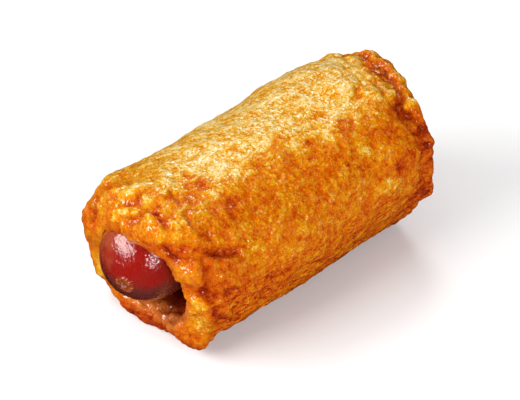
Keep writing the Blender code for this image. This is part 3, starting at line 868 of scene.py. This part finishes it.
        # Where the pale bubble tops carry painted highlight specks.
        skin.paint("glint_flecked", 0.04 + 0.5 * rise(browning_and_shade, 0.42, 0.18))
        low = rise(skin.points[:, 2], 36.0, 30.0)
        skin.paint("calm", rise(-skin.points[:, 1], 30.0, 36.0) * (0.45 + 0.55 * low))
        skin.paint("inside", rise(facing, 0.25, -0.35))
        # Darker towards the back of the opening, partly painted shade.
        skin.paint("inside_shade_depth", rise(skin.points[:, 1], -40.0, -33.0))
        hand_over(piece, "wrapper", FriedSkin().material())
        return piece

    def refined(self) -> bpy.types.Object:
        """Copies the solid, smooths its facets and gives it small even faces."""
        piece = merged_copy("wrapper", "fried_wrapper")
        apply_modifier(piece, "SUBSURF", levels=2, render_levels=2)
        apply_modifier(piece, "REMESH", mode="VOXEL", voxel_size=self.voxel * MM)
        apply_modifier(piece, "SMOOTH", factor=0.5, iterations=2)
        return piece

    def near_the_sausage(self, skin: Skin) -> tuple[np.ndarray, np.ndarray]:
        """Measures how the wall lies to the sausage.

        Args:
            skin: The wrapper's skin.

        Returns:
            How freely each point may be crinkled, from 0 to 1, and how far its normal turns away
            from the sausage, from -1 to 1.
        """
        surface = Skin(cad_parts["sausage"]).surface()
        nearest = np.array([surface.find_nearest(Vector(point))[0] for point in skin.points.tolist()])
        away = skin.points - nearest
        gap = np.linalg.norm(away, axis=1)
        facing = np.sum(away * skin.normals, axis=1) / np.maximum(gap, 1e-6)
        return rise(gap, self.lip_gap, self.free_gap), facing

    def tuck(self, skin: Skin) -> None:
        """Draws the opening's rim in to the sausage, so that it hugs it.

        Args:
            skin: The wrapper's skin.
        """
        surface = Skin(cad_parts["sausage"]).surface()
        near = np.flatnonzero(skin.points[:, 1] < self.tuck_start)
        points = skin.points.copy()
        for row in near:
            nearest, _, _, gap = surface.find_nearest(Vector(points[row]))
            pull = float(rise(np.array(gap), 3.2, 1.2)) * max(gap - self.tuck_gap, 0.0)
            pull *= float(rise(points[row, 2:3], 6.0, 14.0)[0])
            points[row] += pull * (np.array(nearest) - points[row]) / gap
        skin.place(points)

    def plain_browning_and_shade(self, skin: Skin) -> np.ndarray:
        """How brown the skin is before its creases and blisters: pale on top, partly its own colour and partly a
        painted sheen, and darker below, partly painted shade.

        Args:
            skin: The wrapper's skin.

        Returns:
            One value for each point, from 0 to about 1.
        """
        points = skin.points
        angle = np.degrees(np.arctan2(points[:, 2] - self.middle_height, points[:, 0]))
        wander = 0.4 * Grain(Relief.SWELL, (11.0, 14.0, 11.0), 3, 47.0, 0.4).at(points)
        stray = Grain(Relief.SWELL, (4.5, 5.5, 4.5), 2, 61.0).at(points)
        turn = (angle - self.pale_angle + 180.0) % 360.0 - 180.0 + 20.0 * wander + 9.0 * stray
        # The pale band on top is partly a painted sheen.
        browned_outside_sheen = rise(turn, -self.pale_front[0], -self.pale_front[1]) + rise(turn, *self.pale_back)
        golden = np.exp(-(((angle - self.golden_angle - 20.0 * wander) / self.golden_spread) ** 2))
        near_end = rise(np.abs(points[:, 1]), 34.0, 46.0)
        hood = rise(-points[:, 1], 18.0, 36.0)
        # Darker towards the bottom, partly painted shade.
        shaded_underside = rise(-points[:, 2], -14.0, 0.0)
        pale = browned_outside_sheen * (1.0 - 0.5 * hood) + 0.5 * hood
        golden *= 1.0 - rise(np.abs(points[:, 1]), 22.0, 36.0)
        rear = rise(points[:, 1], 33.0, 44.0)
        return 0.15 + 0.28 * pale + 0.06 * near_end + 0.09 * rear + 0.32 * shaded_underside - 0.04 * golden

    def streaked(self, skin: Skin) -> np.ndarray:
        """Where the skin is drawn into fine lengthwise wrinkles: along the flanks, most low down.

        Args:
            skin: The wrapper's skin.

        Returns:
            One value for each point, from 0 to 1.
        """
        points = skin.points
        low = rise(points[:, 2], self.middle_height + 9.0, self.middle_height - 8.0)
        return low * rise(np.abs(points[:, 1]), 46.0, 36.0)

    def shape(self, skin: Skin, freedom: np.ndarray) -> np.ndarray:
        """Crinkles the skin, presses its creases and raises its blisters.

        Args:
            skin: The wrapper's skin.
            freedom: How freely each point may be moved, from 0 to 1.

        Returns:
            How much more brown each point has become: partly its own colour, partly painted shade in the creases and
            painted highlights on the lumps' tops.
        """
        base = skin.points.copy()
        surface = skin.surface()
        heights = np.zeros(len(base))
        browner_and_shaded = np.zeros(len(base))
        near_end = rise(np.abs(base[:, 1]), self.ends_start, self.ends_full)
        for layer in self.layers:
            pattern = layer.grain.at(base)
            heights += (layer.height + (layer.end_height - layer.height) * near_end) * pattern
            # Paler tops and darker hollows, partly painted highlight and painted shade.
            browner_and_shaded -= layer.paleness_and_light * pattern
        patchy = np.clip(0.7 + 0.35 * Grain(Relief.SWELL, (3.0, 3.0, 3.0), 2, 91.0).at(base), 0.35, 1.1)
        hem = rise(-base[:, 2], -8.0, -2.0) * rise(base[:, 1], -41.0, -35.0)
        pattern = self.hem.grain.at(base)
        heights += hem * self.hem.height * pattern
        browner_and_shaded -= hem * self.hem.paleness_and_light * pattern
        for crease in self.creases:
            distance = crease.distance(base, surface)
            heights += crease.depth * (0.35 * np.exp(-((distance - 2.4) ** 2)) - np.exp(-(distance**2)))
            # Darker along the crease, partly painted shade in the fold.
            browner_and_shaded += crease.browning_and_shade * patchy * np.exp(-((0.6 * distance) ** 2))
        for patch in self.patches:
            nearness = patch.nearness(base)
            heights += patch.height * nearness
            browner_and_shaded += patch.browning_and_shade * nearness
        skin.raise_by(heights * freedom)
        settled = skin.points.copy()
        flat = base[:, 2] < 0.05
        settled[:, 2] = np.where(flat, base[:, 2], np.maximum(settled[:, 2], 0.0))
        skin.place(settled)
        return browner_and_shaded


@dataclass
class Sausage:
    """The sausage, worked up from its solid, with the dried knot of its tied end.

    Attributes:
        radius: The sausage's radius.
        tip_lean: How far its tied tip leans away from its line, in degrees.
        tip_rise: Which way the tip leans, in degrees from +X towards the top.
        knot_radius: The radius of the knot's raised ring.
        knot_width: The ring's half width.
        knot_height: How far the ring stands out.
    """

    radius: float = 12.0
    tip_lean: float = 23.5
    tip_rise: float = -6.0
    knot_radius: float = 1.6
    knot_width: float = 0.55
    knot_height: float = 0.55
    wrinkles: Grain = Grain(Relief.BILLOW, (2.4, 2.4, 2.4), 2, 17.3, 0.5)

    def build(self) -> bpy.types.Object:
        """Builds and dresses the sausage."""
        piece = merged_copy("sausage", "smoked_sausage")
        apply_modifier(piece, "SUBSURF", levels=3, render_levels=3)
        skin = Skin(piece)
        centre = self.dome_centre(skin)
        across = self.across_the_tip(skin, centre)
        self.tie(skin, centre, across)
        patchy = 0.8 + 0.35 * Grain(Relief.SWELL, (1.1, 1.1, 1.1), 2, 43.0).at(skin.points)
        skin.paint("knot", patchy * rise(across, 2.9, 1.8))
        # Painted shade on the casing's lower side.
        skin.paint("lower_shade", self.shade_below(skin, centre))
        skin.paint("tan", self.paler_upper_left(skin, centre))
        hand_over(piece, "sausage", SausageCasing().material())
        return piece

    def dome_centre(self, skin: Skin) -> np.ndarray:
        """Finds the middle of the front dome, as the best fitting ball's."""
        points = skin.points
        front = points[points[:, 1] < points[:, 1].min() + 0.6 * self.radius]
        fit = np.column_stack([2.0 * front, np.ones(len(front))])
        return np.linalg.lstsq(fit, np.sum(front**2, axis=1), rcond=None)[0][:3]

    def across_the_tip(self, skin: Skin, centre: np.ndarray) -> np.ndarray:
        """Measures how far each point of the casing is from the tip.

        Args:
            skin: The casing.
            centre: The middle of the front dome.

        Returns:
            Distances along the dome.
        """
        lean, turn = math.radians(self.tip_lean), math.radians(self.tip_rise)
        tip = np.array([
            math.sin(lean) * math.cos(turn),
            -math.cos(lean),
            math.sin(lean) * math.sin(turn),
        ])
        away = skin.points - centre
        away /= np.linalg.norm(away, axis=1, keepdims=True)
        return self.radius * np.arccos(np.clip(away @ tip, -1.0, 1.0))

    def tie(self, skin: Skin, centre: np.ndarray, across: np.ndarray) -> None:
        """Rounds the dome and shapes the knot, the puckers round it and the wrinkles.

        Args:
            skin: The casing.
            centre: The middle of the front dome.
            across: How far each point is from the tip.
        """
        away = skin.points - centre
        distance = np.linalg.norm(away, axis=1)
        rounding = rise(across, 7.0, 4.0)
        distance = distance + rounding * (self.radius - distance)
        points = centre + away * (distance / np.linalg.norm(away, axis=1))[:, None]
        skin.place(points)
        ragged = across + 0.35 * Grain(Relief.SWELL, (1.4, 1.4, 1.4), 2, 9.0).at(points)
        ring = np.exp(-(((ragged - self.knot_radius) / self.knot_width) ** 2))
        hole = np.exp(-((ragged / (0.7 * self.knot_radius)) ** 2))
        fine = self.wrinkles.at(points)
        skin.raise_by(self.knot_height * ring - 0.7 * hole + 0.02 * fine)

    def shade_below(self, skin: Skin, centre: np.ndarray) -> np.ndarray:
        """How much painted shade darkens the casing, from 0 above to 1 below."""
        wander = Grain(Relief.SWELL, (6.0, 6.0, 6.0), 2, 13.0).at(skin.points)
        return rise(centre[2] - skin.points[:, 2] + 1.2 * wander, -4.5, 2.5)

    def paler_upper_left(self, skin: Skin, centre: np.ndarray) -> np.ndarray:
        """How much paler the casing is, from 0 to 1: on its upper left, under the hood."""
        wander = Grain(Relief.SWELL, (4.0, 4.0, 4.0), 2, 29.0).at(skin.points)
        away = skin.points - centre
        return 0.8 * rise(0.5 * away[:, 2] - 0.85 * away[:, 0] + wander, 1.0, 8.0)


@dataclass
class Studio:
    """The floor, the lights and the camera.

    Attributes:
        azimuth: Where the camera stands round the roll, in degrees from -Y towards +X.
        elevation: How far the camera looks down, in degrees.
        distance: How far the camera is from its target.
        target: What it looks at.
        lens: Its focal length, for a sensor 36 wide.
        shift: Its sideways shift, as a share of the picture's width.
    """

    azimuth: float = 48.5
    elevation: float = 41.0
    distance: float = 480.0
    target: Point = (1.71, -2.70, 21.0)
    lens: float = 128.6
    shift: float = 1.0 / 520.0

    def build(self) -> None:
        """Builds the whole studio."""
        self.floor()
        self.sky()
        self.lamp("overhead_light", -60.0, 75.0, 900.0, (700.0, 700.0), 1.2).visible_glossy = False
        self.lamp("window_light", -131.0, 43.0, 700.0, (260.0, 260.0), 1.7)
        self.lamp("front_light", -27.0, 34.0, 700.0, (680.0, 320.0), 5.7)
        self.lamp("side_light", 66.0, 24.0, 700.0, (180.0, 180.0), 1.8)
        self.lamp("side_fill", 86.0, 26.0, 700.0, (420.0, 420.0), 2.25).visible_glossy = False
        self.camera()
        settings = bpy.context.scene.view_settings
        settings.view_transform = "Standard"
        log.info("studio: floor, sky, lamps and camera")

    def floor(self) -> None:
        """Lays a flat sheet that reaches out of sight on every side."""
        bpy.ops.object.select_all(action="DESELECT")
        bpy.ops.mesh.primitive_plane_add(size=8.0, location=(0.0, 0.0, -0.02 * MM))
        sheet = bpy.context.active_object
        sheet.name = sheet.data.name = "floor"
        bpy.ops.object.transform_apply(location=True, rotation=True, scale=True)
        sheet.data.materials.append(PaleFloor().material())
        sheet.visible_glossy = False

    def sky(self) -> None:
        """Surrounds the studio with soft white light."""
        world = bpy.data.worlds.new("soft_sky")
        bpy.context.scene.world = world
        world.use_nodes = True
        background = world.node_tree.nodes["Background"]
        background.inputs["Color"].default_value = (1.0, 1.0, 1.0, 1.0)
        background.inputs["Strength"].default_value = 0.24
        world.cycles_visibility.glossy = False

    def direction(self, azimuth: float, elevation: float) -> Vector:
        """The direction from the roll to a place round it, in degrees as the camera's."""
        round_it, up = math.radians(azimuth), math.radians(elevation)
        flat = math.cos(up)
        return Vector((math.sin(round_it) * flat, -math.cos(round_it) * flat, math.sin(up)))

    def aim(self, thing: bpy.types.Object, azimuth: float, elevation: float, distance: float) -> None:
        """Stands a lamp or camera round the roll and turns it to the target.

        Args:
            thing: The lamp or camera.
            azimuth: Where it stands, in degrees from -Y towards +X.
            elevation: How high it stands, in degrees.
            distance: How far from the target it stands.
        """
        towards = self.direction(azimuth, elevation)
        thing.location = (Vector(self.target) + towards * distance) * MM
        thing.rotation_euler = towards.to_track_quat("Z", "Y").to_euler()

    def lamp(
        self, name: str, azimuth: float, elevation: float, distance: float, size: tuple, power: float
    ) -> bpy.types.Object:
        """Adds a soft lamp.

        Args:
            name: The lamp's name.
            azimuth: Where it stands, in degrees from -Y towards +X.
            elevation: How high it stands, in degrees.
            distance: How far from the target it stands.
            size: Its width and height.
            power: Its power in watts.

        Returns:
            The lamp.
        """
        bpy.ops.object.light_add(type="AREA")
        lamp = bpy.context.active_object
        lamp.name = lamp.data.name = name
        lamp.data.shape = "RECTANGLE"
        lamp.data.size, lamp.data.size_y = size[0] * MM, size[1] * MM
        lamp.data.energy = power
        self.aim(lamp, azimuth, elevation, distance)
        return lamp

    def camera(self) -> None:
        """Stands the camera."""
        bpy.ops.object.camera_add()
        camera = bpy.context.active_object
        camera.name = camera.data.name = "camera"
        camera.data.lens = self.lens
        camera.data.sensor_width = 36.0
        camera.data.shift_x = self.shift
        camera.data.clip_start = 0.01
        self.aim(camera, self.azimuth, self.elevation, self.distance)
        bpy.context.scene.camera = camera


def main() -> None:
    """Builds the wrapper, the sausage and the studio."""
    logging.basicConfig(level=logging.INFO, format="%(name)s %(message)s")
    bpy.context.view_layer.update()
    Wrapper().build()
    Sausage().build()
    Studio().build()


if __name__ == "__main__":
    main()
